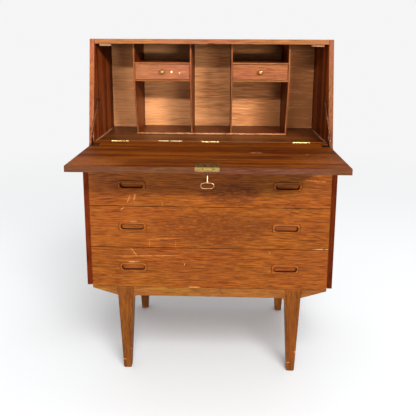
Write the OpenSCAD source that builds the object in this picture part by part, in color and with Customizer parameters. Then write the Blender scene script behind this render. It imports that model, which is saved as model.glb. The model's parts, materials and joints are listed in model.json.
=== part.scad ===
// Drop-front secretary desk. Millimetres, +Z up, front towards -Y.
// The origin lies on the floor, in the middle of the desk's footprint with its flap open.
// Depths inside the modules are counted from the plane of the drawer fronts.

/* [Case] */
// Width over the side panels
case_w = 800; // [700:5:1000]
// Depth from the drawer fronts to the back edges
case_d = 388; // [370:2:440]
// Height of the top panel above the floor
case_h = 1102; // [1080:2:1180]
// Thickness of the sides, top and bottom
board_t = 16; // [14:1:20]
// Height of the writing surface
desk_z = 767; // [760:1:775]
// Thickness of the desk floor board
floor_t = 18; // [16:1:20]
// Thickness of the plywood back
back_t = 5; // [4:1:6]
// Depth of the recess behind the plywood back
back_inset = 9; // [6:1:12]

/* [Flap] */
// Thickness of the flap
flap_t = 17; // [15:1:17]
// Lean of the closed flap from the vertical, in degrees
flap_lean = 9.2; // [8:0.2:10]
// Depth of the hinge line behind the drawer fronts
hinge_y = 100.5; // [96:0.5:110]
// Gap at each end of the flap
flap_gap = 1.5; // [1:0.5:2]

/* [Drawers] */
// Height from one drawer front to the next
drawer_pitch = 139.2; // [130:0.2:140]
// Gap round each drawer front
front_gap = 1.2; // [1:0.2:2]
// Thickness of the drawer fronts
front_t = 17; // [15:1:19]
// Length of the drawer sides
drawer_side_l = 335; // [300:5:340]
// Height of the drawer sides
drawer_side_h = 108; // [90:2:112]
// Thickness of the drawer sides
drawer_side_t = 14; // [12:1:15]
// Distance of each pull from the middle
pull_x = 246.5; // [200:0.5:260]
// Width of a pull
pull_w = 88; // [80:1:100]
// Height of a pull
pull_h = 29; // [26:1:32]

/* [Pigeonholes] */
// Thickness of the dividers and shelves
divider_t = 5.5; // [5:0.5:8]
// Distance of the outer dividers from the middle
divider_outer_x = 263.5; // [240:0.5:280]
// Distance of the inner dividers from the middle
divider_inner_x = 70; // [60:1:90]
// Depth of the dividers' upper front edge behind the drawer fronts
divider_y = 176; // [170:1:190]
// How far the front edge of a divider recedes towards its foot
divider_sweep = 49; // [20:1:60]
// Height of the underside of the lower shelves
shelf_low_z = 960; // [940:1:980]
// Clear height for a small drawer
small_h = 53.5; // [45:0.5:60]

/* [Base] */
// Height of the underside of the bottom board
base_h = 298; // [280:1:310]
// Distance of the leg centres from the middle
leg_x = 275.5; // [240:0.5:300]
// Width of a leg at its top
leg_top = 54; // [46:1:60]
// Width of a leg at its foot
leg_foot = 26; // [22:1:32]
// Height of the front and rear rails
rail_h = 32.5; // [28:0.5:40]
// Thickness of the rails
rail_t = 20; // [16:1:24]

/* [Hidden] */
$fn = 48;

// Case
inner_x = case_w / 2 - board_t;
back_y = case_d - back_inset - back_t;
deck_z = desk_z - floor_t;
lean_tan = tan(flap_lean);
// Depth of the sloping front edge at the height of the desk floor
slope_y = hinge_y - flap_t / cos(flap_lean);
side_drop = 6;
ledge_r = 12;
nose_r = 6;
top_rail_y = [1, 30];

// Blocks under the top panel that the closed flap stops against
stop_w = 39;
stop_d = 22;
stop_h = 7;
stop_in = 11;
stop_gap = 1;

// Flap: its length leaves a small gap under the top panel when it is closed
flap_clear = 1.4;
flap_l = (case_h - board_t - flap_clear - desk_z - flap_t * sin(flap_lean)) / cos(flap_lean);
flap_front_y = hinge_y - flap_l;
edge_gap = 0.3;
flap_half_w = inner_x - flap_gap;
front_y = -(case_d + flap_front_y) / 2;

// Fits
fit = 0.1;
pin_fit = 0.05;
slide_fit = 0.3;

// Hinges
hinge_xs = [-300, 0, 300];
hinge_l = 57;
leaf_w = 9;
leaf_t = 1.8;
leaf_screw_y = 5.95;
leaf_screw_xs = [-20, 0, 20];
knuckle_r = 2.6;
knuckle_gap = 0.4;
pin_r = 1.2;
screw_head_r = 2.6;
screw_r = 1.3;
screw_l = 11;
third = (hinge_l - 2 * knuckle_gap) / 3;

// Lock and key
lock_w = 66;
lock_d = 45;
plate_t = 1.8;
lock_edge_h = 11.5;
box_w = 48;
box_d = 38;
box_h = 10;
box_wall = 1.2;
bolt_w = 18;
bolt_t = 4.6;
bolt_throw = 8;
bolt_drop = 7.2;
key_back = 25;
key_y = flap_front_y + key_back;
key_r = 2.5;
key_top_drop = 3.4;
collar_h = 3;
bit_r = 8;
bit_t = 2;
bit_h = 5;
hole_fit = 0.3;
bow_w = 38.6;
bow_h = 19;
bow_wire = 4;
key_end_z = desk_z - 68;
box_z = desk_z - plate_t - box_h;
bolt_z = desk_z - bolt_drop - bolt_t / 2;
bolt_arm = 3;
bolt_arm_l = 18;
plate_r = 11;
keyhole_plate_t = 1.2;

// Where the lock engages, in the underside of the top panel
strike_w = 24;
strike_h = 3;
strike_y = [136, 158];
strike_t = 1.2;
pocket_w = 20;
pocket_y = [138, 154];
pocket_h = 9;

// Lid stays: the two pivots in the plane of the bar, with the flap open
stay_x = 380.5;
stay_t = 2;
stay_w = 9;
stud_y = 144;
stud_z = 900;
foot_y = 44;
foot_z = 786;
slot_w = 4.4;
stud_r = 1.55;
stud_collar_r = 4.5;
stud_head_r = 4.2;
rivet_r = 3.2;
washer_r = 5.4;
block_l = 6;
stay_over = 9;
bracket_w = 24;
bracket_l = 22;
bracket_t = 2;
bracket_base_t = 1.8;
bracket_step = 6;
eye_r = 5.6;
bracket_pin_r = 3.4;
bracket_screw_y = 6.5;
bracket_screw_r = 2.9;
stay_angle = atan2(stud_z - foot_z, stud_y - foot_y);
stay_l = sqrt(pow(stud_y - foot_y, 2) + pow(stud_z - foot_z, 2));
foot_back = foot_y - hinge_y;
foot_up = foot_z - desk_z;
turn = 90 + flap_lean;
foot_closed_y = hinge_y + foot_back * cos(turn) + foot_up * sin(turn);
foot_closed_z = desk_z - foot_back * sin(turn) + foot_up * cos(turn);
stay_l_closed = sqrt(pow(stud_y - foot_closed_y, 2) + pow(stud_z - foot_closed_z, 2));
stay_travel = stay_l - stay_l_closed;

// Large drawers
drawer_gap = 1.2;
runner_h = 12;
runner_out = 8;
runner_up = 62;
runner_end = 8;
groove_fit = 0.4;
box_back_t = 10;
box_back_in = 4;
box_back_drop = 6;
pull_out = 2.5;
pull_fit = 0.2;
pull_up = 70.4;
pull_r_top = 9;
pull_r_low = 5;
recess_w = 76;
recess_h = 19;
recess_r = 5;
recess_drop = 3.6;
recess_d = 12;
ply_t = 4;
ply_up = 9;
ply_in = 5;

// Small drawers
shelf_t = divider_t;
small_x = (divider_outer_x + divider_inner_x) / 2;
bay_w = divider_outer_x - divider_inner_x - divider_t;
small_gap = 0.8;
small_front_t = 10;
small_side_t = 8;
small_ply_t = 3;
small_l = 165;
small_recess = 6;
small_side_drop = 5;
small_back_drop = 3;
knob_hole_r = 2.1;
knob_r = 8.5;

// Base
haunch_w = 14;
haunch_h = 40;
haunch_steps = 5;
side_haunch_w = 40;
wing_end = 7;
leg_set = 1;
leg_top_d = leg_top - 4;
rail_set = 4;

module in_case() {
    translate([0, front_y, 0]) children();
}

// A box from its low corner to its high corner
module span(low, high) {
    translate(low) cube(high - low);
}

// An outline drawn in depth and height, given a thickness from x0 to x1
module across(x0, x1) {
    translate([x0, 0, 0]) rotate([90, 0, 90]) linear_extrude(x1 - x0) children();
}

// An outline drawn in width and height, given a depth from y0 to y1
module deep(y0, y1) {
    translate([0, y1, 0]) rotate([90, 0, 0]) linear_extrude(y1 - y0) children();
}

module rounded_plate(w, h, r_top, r_low) {
    union() {
        for (s = [-1, 1]) {
            translate([s * (w / 2 - r_top), h / 2 - r_top]) circle(r_top);
            translate([s * (w / 2 - r_low), -h / 2 + r_low]) circle(r_low);
        }
        translate([-w / 2 + r_top, 0]) square([w - 2 * r_top, h / 2]);
        translate([-w / 2 + r_low, -h / 2]) square([w - 2 * r_low, h / 2]);
        translate([-w / 2, -h / 2 + r_low]) square([w, h - r_low - r_top]);
    }
}

module stadium(w, h) {
    union() {
        square([w - h, h], center = true);
        for (s = [-1, 1]) {
            translate([s * (w - h) / 2, 0]) circle(h / 2);
        }
    }
}

/* Case */

// What is taken off the upper front corner of the lower case to round it
module nose_cut() {
    difference() {
        translate([-1, deck_z - nose_r]) square([nose_r + 1, nose_r + 1]);
        translate([nose_r, deck_z - nose_r]) circle(nose_r);
    }
}

// A side has a flat ledge that the open flap rests above, and a sloping edge that meets the closed flap
module side_outline() {
    ledge_y = slope_y - (desk_z - deck_z) * lean_tan;
    difference() {
        polygon([
            [0, base_h + side_drop], [case_d, base_h + side_drop], [case_d, case_h],
            [slope_y + (case_h - desk_z) * lean_tan, case_h], [ledge_y, deck_z], [0, deck_z]
        ]);
        nose_cut();
    }
    difference() {
        translate([ledge_y - ledge_r, deck_z]) square([ledge_r + 2, ledge_r]);
        translate([ledge_y - ledge_r, deck_z + ledge_r]) circle(ledge_r);
    }
}

module side_panel(s) {
    color([0.60, 0.30, 0.13]) in_case() mirror([s > 0 ? 0 : 1, 0, 0])
        across(inner_x, case_w / 2) side_outline();
}

module side_left() side_panel(-1);
module side_right() side_panel(1);

module top_panel() {
    z0 = case_h - board_t;
    color([0.68, 0.37, 0.18]) in_case() difference() {
        across(-inner_x, inner_x) polygon([
            [slope_y + (z0 - desk_z) * lean_tan, z0], [case_d, z0], [case_d, case_h],
            [slope_y + (case_h - desk_z) * lean_tan, case_h]
        ]);
        span([-strike_w / 2, hinge_y, z0 - 1], [strike_w / 2, strike_y[1], z0 + strike_h]);
        span([-pocket_w / 2, pocket_y[0], z0], [pocket_w / 2, pocket_y[1], z0 + pocket_h]);
    }
}

module strike_plate() {
    z1 = case_h - board_t + strike_h - fit;
    color([0.25, 0.20, 0.12]) in_case() difference() {
        span([-strike_w / 2 + fit, strike_y[0], z1 - strike_t],
             [strike_w / 2 - fit, strike_y[1] - fit, z1]);
        span([-pocket_w / 2, pocket_y[0], z1 - 2], [pocket_w / 2, pocket_y[1], z1 + 1]);
    }
}

module hinge_gains(grow) {
    for (x = hinge_xs) {
        translate([x, hinge_y, desk_z]) union() {
            span([-hinge_l / 2 - grow, -leaf_w - grow, -leaf_t - grow],
                 [hinge_l / 2 + grow, leaf_w + grow, 1]);
            rotate([0, 90, 0])
                cylinder(r = knuckle_r + slide_fit, h = hinge_l + 2 * slide_fit, center = true);
        }
    }
}

module screw_holes(side) {
    for (x = hinge_xs, dx = leaf_screw_xs) {
        translate([x + dx, hinge_y + side * leaf_screw_y, desk_z - screw_l - 1])
            cylinder(r = screw_r + fit, h = screw_l + 1);
    }
}

module desk_floor() {
    color([0.42, 0.20, 0.09]) in_case() difference() {
        span([-inner_x, hinge_y + edge_gap, deck_z], [inner_x, back_y, desk_z]);
        hinge_gains(fit);
        screw_holes(1);
    }
}

module drawer_deck() {
    color([0.55, 0.28, 0.12]) in_case() across(-inner_x, inner_x) difference() {
        translate([0, deck_z - board_t]) square([back_y, board_t]);
        nose_cut();
    }
}

module top_rail() {
    color([0.55, 0.28, 0.12]) in_case()
        span([-inner_x, top_rail_y[0], base_h + 3 * drawer_pitch + front_gap / 2],
             [inner_x, top_rail_y[1], deck_z - board_t]);
}

module bottom_board() {
    color([0.55, 0.28, 0.12]) in_case()
        span([-inner_x, front_t + slide_fit, base_h], [inner_x, back_y, base_h + board_t]);
}

module back_panel() {
    color([0.72, 0.50, 0.30]) in_case()
        span([-inner_x, back_y, base_h], [inner_x, back_y + back_t, case_h - board_t]);
}

function runner_z(n) = base_h + (3 - n) * drawer_pitch + runner_up;

module drawer_runners() {
    color([0.75, 0.60, 0.42]) in_case()
        for (n = [1:3], s = [-1, 1]) {
            x0 = s > 0 ? inner_x - runner_out : -inner_x;
            span([x0, front_t + runner_end, runner_z(n) - runner_h / 2],
                 [x0 + runner_out, front_t + drawer_side_l - runner_end, runner_z(n) + runner_h / 2]);
        }
}

/* Pigeonholes */

unit_top_z = case_h - board_t;
unit_z = desk_z + shelf_t;
sweep_z = shelf_low_z + 2 * shelf_t + small_h;
sweep_steps = 14;

// The front edge of a divider: upright at the shelves, then receding along a smooth S
function sweep(k) = [
    divider_y + divider_sweep * (1 - cos(180 * k)) / 2,
    sweep_z + (unit_z - sweep_z) * pow(k, 0.72)
];

module divider(x) {
    color([0.66, 0.36, 0.18]) in_case() across(x - divider_t / 2, x + divider_t / 2) polygon(concat(
        [[back_y, unit_z], [back_y, unit_top_z], [divider_y, unit_top_z]],
        [for (i = [0:sweep_steps]) sweep(i / sweep_steps)]
    ));
}

module divider_1() divider(-divider_outer_x);
module divider_2() divider(-divider_inner_x);
module divider_3() divider(divider_inner_x);
module divider_4() divider(divider_outer_x);

module unit_bottom() {
    half = divider_outer_x + divider_t / 2;
    color([0.66, 0.36, 0.18]) in_case()
        span([-half, divider_y + divider_sweep, desk_z], [half, back_y, unit_z]);
}

module shelves() {
    color([0.66, 0.36, 0.18]) in_case()
        for (s = [-1, 1], z = [shelf_low_z, shelf_low_z + shelf_t + small_h]) {
            translate([s * small_x, 0, z])
                span([-bay_w / 2, divider_y, 0], [bay_w / 2, back_y, shelf_t]);
        }
}

module stop_blocks() {
    z1 = case_h - board_t;
    y0 = hinge_y + (z1 - desk_z) * lean_tan + stop_gap;
    color([0.80, 0.62, 0.42]) union() {
        for (s = [-1, 1]) {
            on_side(s) span([inner_x - stop_in - stop_w, y0, z1 - stop_h],
                            [inner_x - stop_in, y0 + stop_d, z1]);
        }
    }
}

/* Hinges */

module knuckle(x, l, grow = 0) {
    translate([x, 0, 0]) rotate([0, 90, 0])
        cylinder(r = knuckle_r + grow, h = l + 2 * grow, center = true);
}

module leaf_plate(side) {
    difference() {
        translate([0, side * leaf_w / 2, -leaf_t / 2]) cube([hinge_l, leaf_w, leaf_t], center = true);
        for (dx = leaf_screw_xs) {
            translate([dx, side * leaf_screw_y, -leaf_t - 1])
                cylinder(r = screw_head_r + fit, h = leaf_t + 2);
        }
    }
}

module leaf_fixed() {
    difference() {
        union() {
            difference() {
                leaf_plate(1);
                knuckle(0, third + 2 * knuckle_gap, knuckle_gap);
            }
            for (s = [-1, 1]) {
                knuckle(s * (third + knuckle_gap), third);
            }
        }
        rotate([0, 90, 0]) cylinder(r = pin_r + pin_fit, h = hinge_l + 2, center = true);
    }
}

module leaf_moving() {
    difference() {
        union() {
            difference() {
                leaf_plate(-1);
                for (s = [-1, 1]) {
                    knuckle(s * (third + knuckle_gap + 1), third + 2, knuckle_gap);
                }
            }
            knuckle(0, third);
        }
        rotate([0, 90, 0]) cylinder(r = pin_r + pin_fit, h = hinge_l + 2, center = true);
    }
}

module at_hinges() {
    in_case() for (x = hinge_xs) {
        translate([x, hinge_y, desk_z]) children();
    }
}

module leaf_screws(side) {
    for (dx = leaf_screw_xs) {
        translate([dx, side * leaf_screw_y, -leaf_t]) union() {
            cylinder(r = screw_head_r, h = leaf_t);
            translate([0, 0, leaf_t - screw_l]) cylinder(r = screw_r, h = screw_l - leaf_t + 0.5);
        }
    }
}

module hinge_leaves_fixed() color([0.78, 0.62, 0.30]) at_hinges() leaf_fixed();
module hinge_leaves_moving() color([0.78, 0.62, 0.30]) at_hinges() leaf_moving();
module hinge_screws_fixed() color([0.70, 0.55, 0.28]) at_hinges() leaf_screws(1);
module hinge_screws_moving() color([0.70, 0.55, 0.28]) at_hinges() leaf_screws(-1);

module hinge_pins() {
    color([0.70, 0.55, 0.28]) at_hinges() rotate([0, 90, 0])
        cylinder(r = pin_r, h = hinge_l, center = true);
}

/* Flap and lock */

module key_hole(z0, z1, grow = 0) {
    translate([0, key_y, z0]) union() {
        cylinder(r = key_r + hole_fit + grow, h = z1 - z0);
        translate([0, -bit_t / 2 - hole_fit - grow, 0])
            cube([bit_r + 2 * hole_fit + grow, bit_t + 2 * hole_fit + 2 * grow, z1 - z0]);
    }
}

module lock_pocket() {
    union() {
        span([-lock_w / 2 - fit, flap_front_y - 1, desk_z - plate_t - fit],
             [lock_w / 2 + fit, flap_front_y + lock_d + fit, desk_z + 1]);
        span([-lock_w / 2 - fit, flap_front_y - 1, desk_z - lock_edge_h - fit],
             [lock_w / 2 + fit, flap_front_y + plate_t + fit, desk_z + 1]);
        span([-box_w / 2 - fit, flap_front_y - 1, box_z - fit],
             [box_w / 2 + fit, flap_front_y + plate_t + box_d + fit, desk_z + 1]);
    }
}

module flap_panel() {
    z0 = desk_z - flap_t;
    color([0.52, 0.25, 0.10]) in_case() difference() {
        span([-flap_half_w, flap_front_y, z0], [flap_half_w, hinge_y - edge_gap, desk_z]);
        hinge_gains(fit);
        screw_holes(-1);
        lock_pocket();
        key_hole(z0 - 1, desk_z, 0.2);
        translate([0, key_y, z0 - 1]) cylinder(r = plate_r + fit, h = 1 + keyhole_plate_t + fit);
    }
}

module lock_case() {
    y1 = flap_front_y + plate_t;
    color([0.78, 0.60, 0.28]) in_case() difference() {
        union() {
            span([-lock_w / 2, flap_front_y, desk_z - plate_t],
                 [lock_w / 2, flap_front_y + lock_d, desk_z]);
            span([-lock_w / 2, flap_front_y, desk_z - lock_edge_h], [lock_w / 2, y1, desk_z]);
            span([-box_w / 2, flap_front_y, box_z], [box_w / 2, y1 + box_d, desk_z]);
        }
        span([-box_w / 2 + box_wall, y1, box_z + box_wall],
             [box_w / 2 - box_wall, y1 + box_d - box_wall, desk_z - plate_t]);
        span([-bolt_w / 2 - fit, flap_front_y - 1, bolt_z - fit],
             [bolt_w / 2 + fit, y1 + 1, bolt_z + bolt_t + fit]);
        key_hole(box_z - 1, box_z + box_wall + 1);
    }
}

module lock_bolt() {
    y0 = flap_front_y + 0.3;
    z1 = bolt_z + bolt_t;
    reach = bit_r + 3;
    arm_y = flap_front_y + plate_t + bolt_throw + 0.8;
    color([0.70, 0.55, 0.28]) in_case() union() {
        span([-bolt_w / 2, y0, bolt_z], [bolt_w / 2, arm_y + bolt_arm, z1]);
        span([-reach - bolt_arm, arm_y, bolt_z], [reach + bolt_arm, arm_y + bolt_arm, z1]);
        for (s = [-1, 1]) {
            translate([s * (reach + bolt_arm / 2), 0, 0])
                span([-bolt_arm / 2, arm_y, bolt_z], [bolt_arm / 2, arm_y + bolt_arm_l, z1]);
        }
    }
}

module keyhole_plate() {
    z0 = desk_z - flap_t;
    color([0.78, 0.60, 0.28]) in_case() difference() {
        translate([0, key_y, z0]) cylinder(r = plate_r, h = keyhole_plate_t);
        key_hole(z0 - 1, z0 + 2);
    }
}

module key() {
    z1 = desk_z - key_top_drop;
    bow_top = key_end_z + bow_h;
    bow_mid = key_end_z + bow_h / 2;
    color([0.45, 0.33, 0.18]) in_case() translate([0, key_y, 0]) union() {
        translate([0, 0, bow_top - 2]) cylinder(r = key_r, h = z1 - bow_top + 2);
        span([0, -bit_t / 2, z1 - 0.5 - bit_h], [bit_r, bit_t / 2, z1 - 0.5]);
        translate([0, 0, bow_top + 1]) cylinder(r = key_r + 1, h = collar_h);
        translate([0, 0, bow_mid]) deep(-bow_wire / 2, bow_wire / 2) difference() {
            stadium(bow_w, bow_h);
            stadium(bow_w - 2 * bow_wire, bow_h - 2 * bow_wire);
        }
    }
}

/* Lid stays: drawn on the right and mirrored to the left */

module on_side(s) {
    in_case() mirror([s > 0 ? 0 : 1, 0, 0]) children();
}

// Stays lie in planes of constant x; this puts a flat outline along the bar from the lower pivot
module along_stay(x0, x1) {
    translate([0, foot_y, foot_z]) across(x0, x1) rotate(stay_angle) children();
}

module stay_bar(s) {
    bar_end = stay_l + stay_over;
    slot_end_gap = block_l / 2 + 0.6;
    x0 = stay_x - stay_t / 2;
    color([0.20, 0.15, 0.11]) on_side(s) union() {
        along_stay(x0, x0 + stay_t) difference() {
            union() {
                circle(stay_w / 2);
                translate([0, -stay_w / 2]) square([bar_end - stay_w / 2, stay_w]);
                translate([bar_end - stay_w / 2, 0]) circle(stay_w / 2);
            }
            translate([stay_l_closed - slot_end_gap, -slot_w / 2])
                square([stay_travel + 2 * slot_end_gap, slot_w]);
        }
        along_stay(x0 + stay_t - 0.2, x0 + stay_t + 0.8) circle(rivet_r);
    }
}

module slider(s) {
    x0 = stay_x - stay_t / 2;
    color([0.16, 0.13, 0.10]) on_side(s) along_slider() difference() {
        union() {
            across(x0 - 1.4, x0 - 0.3) circle(washer_r);
            across(x0 - 0.4, x0 + stay_t + 0.3) square([block_l, slot_w - 2 * fit], center = true);
        }
        across(x0 - 3, x0 + stay_t + 2) circle(stud_r + pin_fit);
    }
}

module along_slider() {
    translate([0, stud_y, stud_z]) rotate([stay_angle, 0, 0]) children();
}

module stud() {
    x0 = stay_x - stay_t / 2;
    translate([0, stud_y, stud_z]) union() {
        across(x0 + stay_t + 0.6, inner_x) circle(stud_collar_r);
        across(x0 - 2, inner_x) circle(stud_r);
        across(x0 - 3.6, x0 - 1.7) circle(stud_head_r);
    }
}

module stay_studs() {
    color([0.16, 0.13, 0.10]) union() {
        for (s = [-1, 1]) {
            on_side(s) stud();
        }
    }
}

module bracket() {
    x1 = stay_x - stay_t / 2 - 0.5;
    x0 = x1 - bracket_t;
    half = bracket_w / 2;
    translate([0, foot_y, 0]) union() {
        span([x1 - bracket_l, -half, desk_z], [x1, half, desk_z + bracket_base_t]);
        translate([0, 0, desk_z]) across(x0, x1) union() {
            translate([-half, 0]) square([bracket_w, bracket_step]);
            polygon([
                [-half, bracket_step - 0.1], [half, bracket_step - 0.1],
                [eye_r, foot_up], [-eye_r, foot_up]
            ]);
            translate([0, foot_up]) circle(eye_r);
        }
        translate([0, 0, foot_z]) across(x0 - 1.6, x0 + 0.1) circle(bracket_pin_r);
        for (y = [-bracket_screw_y, bracket_screw_y]) {
            translate([x1 - bracket_l + 8, y, desk_z + bracket_base_t - 0.1])
                cylinder(r = bracket_screw_r, h = 1.1);
        }
    }
}

module stay_brackets() {
    color([0.12, 0.10, 0.08]) union() {
        for (s = [-1, 1]) {
            on_side(s) bracket();
        }
    }
}

module slider_left() slider(-1);
module slider_right() slider(1);
module stay_bar_left() stay_bar(-1);
module stay_bar_right() stay_bar(1);

/* Large drawers, numbered from the top */

function drawer_z(n) = base_h + (3 - n) * drawer_pitch + front_gap / 2;
drawer_front_h = drawer_pitch - front_gap;
drawer_half_w = inner_x - drawer_gap;
drawer_up = board_t + 2;

module pull_outline(grow) {
    rounded_plate(pull_w + 2 * grow, pull_h + 2 * grow, pull_r_top + grow, pull_r_low + grow);
}

module drawer_front(n) {
    color([0.66, 0.36, 0.15]) in_case() translate([0, 0, drawer_z(n)]) difference() {
        span([-inner_x + 1, 0, 0], [inner_x - 1, front_t, drawer_front_h]);
        for (s = [-1, 1]) {
            translate([s * pull_x, 0, pull_up]) deep(-1, front_t + 1) pull_outline(pull_fit);
        }
        span([-drawer_half_w + drawer_side_t - ply_in, front_t - ply_in, drawer_up + ply_up - fit],
             [drawer_half_w - drawer_side_t + ply_in, front_t + 1, drawer_up + ply_up + ply_t + fit]);
    }
}

module drawer_box(n) {
    y0 = front_t;
    y1 = front_t + drawer_side_l;
    y_back = y1 - box_back_in;
    x_back = drawer_half_w - drawer_side_t - fit;
    groove_h = runner_h + 2 * groove_fit;
    groove_in = runner_out - drawer_gap + groove_fit;
    color([0.80, 0.66, 0.46]) in_case() translate([0, 0, drawer_z(n) + drawer_up]) union() {
        for (s = [-1, 1]) {
            mirror([s > 0 ? 0 : 1, 0, 0]) difference() {
                span([drawer_half_w - drawer_side_t, y0, 0], [drawer_half_w, y1, drawer_side_h]);
                translate([0, 0, runner_z(n) - drawer_z(n) - drawer_up - groove_h / 2])
                    span([drawer_half_w - groove_in, y0 + 2, 0], [drawer_half_w + 1, y1 + 1, groove_h]);
                span([drawer_half_w - drawer_side_t - 1, y0 - 1, ply_up - fit],
                     [drawer_half_w - drawer_side_t + ply_in, y1 + 1, ply_up + ply_t + fit]);
            }
        }
        span([-x_back, y_back - box_back_t, ply_up + ply_t + fit],
             [x_back, y_back, drawer_side_h - box_back_drop]);
    }
}

module drawer_bottom(n) {
    half = drawer_half_w - drawer_side_t + ply_in - fit;
    color([0.78, 0.62, 0.42]) in_case() translate([0, 0, drawer_z(n) + drawer_up + ply_up])
        span([-half, front_t - ply_in + fit, 0], [half, front_t + drawer_side_l - box_back_in, ply_t]);
}

// Seen from the end, a pull is proud of the drawer front at its upper lip and slopes back below it
module pull_profile() {
    polygon([
        [-1, pull_h / 2], [-pull_out, pull_h / 2 - 3.5], [-pull_out, pull_h / 2 - 9],
        [-0.6, -pull_h / 2], [front_t, -pull_h / 2], [front_t, pull_h / 2]
    ]);
}

module drawer_pulls(n) {
    color([0.70, 0.40, 0.20]) in_case() for (s = [-1, 1]) {
        translate([s * pull_x, 0, drawer_z(n) + pull_up]) difference() {
            intersection() {
                deep(-pull_out, front_t) pull_outline(0);
                across(-pull_w, pull_w) pull_profile();
            }
            translate([0, 0, -recess_drop]) deep(-pull_out - 1, recess_d)
                rounded_plate(recess_w, recess_h, recess_r, recess_h / 2 - 0.1);
        }
    }
}

module drawer_1_front() drawer_front(1);
module drawer_2_front() drawer_front(2);
module drawer_3_front() drawer_front(3);
module drawer_1_box() drawer_box(1);
module drawer_2_box() drawer_box(2);
module drawer_3_box() drawer_box(3);
module drawer_1_bottom() drawer_bottom(1);
module drawer_2_bottom() drawer_bottom(2);
module drawer_3_bottom() drawer_bottom(3);
module drawer_1_pulls() drawer_pulls(1);
module drawer_2_pulls() drawer_pulls(2);
module drawer_3_pulls() drawer_pulls(3);

/* Small drawers in the pigeonholes */

small_z = shelf_low_z + shelf_t;
small_y = divider_y + small_recess;

module at_small(s) {
    in_case() translate([s * small_x, small_y, small_z + small_gap]) children();
}

small_w = bay_w - 2 * small_gap;
small_front_h = small_h - 2 * small_gap;

module small_front(s) {
    color([0.70, 0.40, 0.20]) at_small(s) difference() {
        span([-small_w / 2, 0, 0], [small_w / 2, small_front_t, small_front_h]);
        translate([0, -1, small_front_h / 2]) rotate([-90, 0, 0])
            cylinder(r = knob_hole_r, h = small_front_t + 2);
    }
}

module small_box(s) {
    y0 = small_front_t;
    y1 = small_front_t + small_l;
    half = small_w / 2 - 0.4;
    h = small_front_h - small_side_drop;
    color([0.80, 0.66, 0.46]) at_small(s) union() {
        for (m = [0, 1]) {
            mirror([m, 0, 0]) span([half - small_side_t, y0, 0], [half, y1, h]);
        }
        span([-half + small_side_t + fit, y1 - small_side_t, small_ply_t + fit],
             [half - small_side_t - fit, y1, h - small_back_drop]);
        span([-half + small_side_t + fit, y0, 0], [half - small_side_t - fit, y1, small_ply_t]);
    }
}

module small_knob(s) {
    color([0.85, 0.70, 0.32]) at_small(s) translate([0, 0, small_front_h / 2]) rotate([90, 0, 0])
        rotate_extrude() union() {
            translate([0, -small_front_t]) square([2, small_front_t + 4]);
            polygon([[0, 0], [5, 0], [5, 1.2], [3.4, 3], [3.4, 6], [6.5, 8], [0, 8]]);
            intersection() {
                translate([0, 7.5]) square([knob_r, 7]);
                translate([0, 7.2]) circle(knob_r);
            }
        }
}

module small_left_front() small_front(-1);
module small_right_front() small_front(1);
module small_left_box() small_box(-1);
module small_right_box() small_box(1);
module small_left_knob() small_knob(-1);
module small_right_knob() small_knob(1);

/* Base */

module leg_block() {
    half_top = leg_top / 2;
    half_foot = leg_foot / 2;
    intersection() {
        deep(0, leg_top) polygon([
            [-half_foot, 0], [half_foot, 0], [half_top, base_h], [-half_top, base_h]
        ]);
        across(-leg_top, leg_top) polygon([
            [0, 0], [leg_foot, 0], [leg_top_d, base_h], [0, base_h]
        ]);
    }
}

module leg(sx, rear) {
    color([0.55, 0.29, 0.13]) in_case()
        translate([sx * leg_x, rear ? case_d - leg_set : leg_set, 0])
            mirror([0, rear ? 1 : 0, 0]) leg_block();
}

module leg_front_left() leg(-1, false);
module leg_front_right() leg(1, false);
module leg_rear_left() leg(-1, true);
module leg_rear_right() leg(1, true);

// Half width of a leg at a height
function leg_half(z) = (leg_foot + (leg_top - leg_foot) * z / base_h) / 2;
// Depth of a leg at a height
function leg_deep(z) = leg_foot + (leg_top_d - leg_foot) * z / base_h;
rail_z = base_h - rail_h;
haunch_z = rail_z - haunch_h;

// The underside of a rail's end: hollowed from the rail at start down to the leg at x
function haunch(x, start) = [for (i = [0:haunch_steps])
    let (a = 90 * i / haunch_steps)
    [x + (start - x) * (1 - sin(a)), haunch_z + haunch_h * cos(a)]
];

// A rail between two legs with a haunch at each end. end is the last haunch, top its upper corner,
// and the outline is alike on both sides of the middle.
module rail_outline(end, top, middle) {
    polygon(concat(
        [for (i = [haunch_steps:-1:0]) [2 * middle - end[i].x, end[i].y]],
        end,
        [[top, base_h], [2 * middle - top, base_h]]
    ));
}

module cross_rail(y0) {
    low = leg_x - leg_half(haunch_z);
    color([0.58, 0.31, 0.14]) in_case() deep(y0, y0 + rail_t)
        rail_outline(haunch(low, low - haunch_w), leg_x - leg_half(base_h), 0);
}

module rail_front() cross_rail(rail_set);
module rail_rear() cross_rail(case_d - rail_set - rail_t);

module side_rail(s) {
    low = case_d - leg_set - leg_deep(haunch_z);
    color([0.50, 0.26, 0.12]) on_side(s) across(leg_x - rail_t / 2, leg_x + rail_t / 2)
        rail_outline(haunch(low, low - side_haunch_w), case_d - leg_set - leg_deep(base_h), case_d / 2);
}

module rail_left() side_rail(-1);
module rail_right() side_rail(1);

module wing() {
    x0 = leg_x + leg_half(base_h);
    x1 = leg_x + leg_half(rail_z);
    polygon([[x0, base_h], [x1, rail_z], [inner_x, base_h - wing_end], [inner_x, base_h]]);
}

module base_wings() {
    color([0.56, 0.30, 0.13]) in_case() for (s = [0, 1], y = [rail_set, case_d - rail_set - rail_t]) {
        mirror([s, 0, 0]) deep(y, y + rail_t) wing();
    }
}

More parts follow.
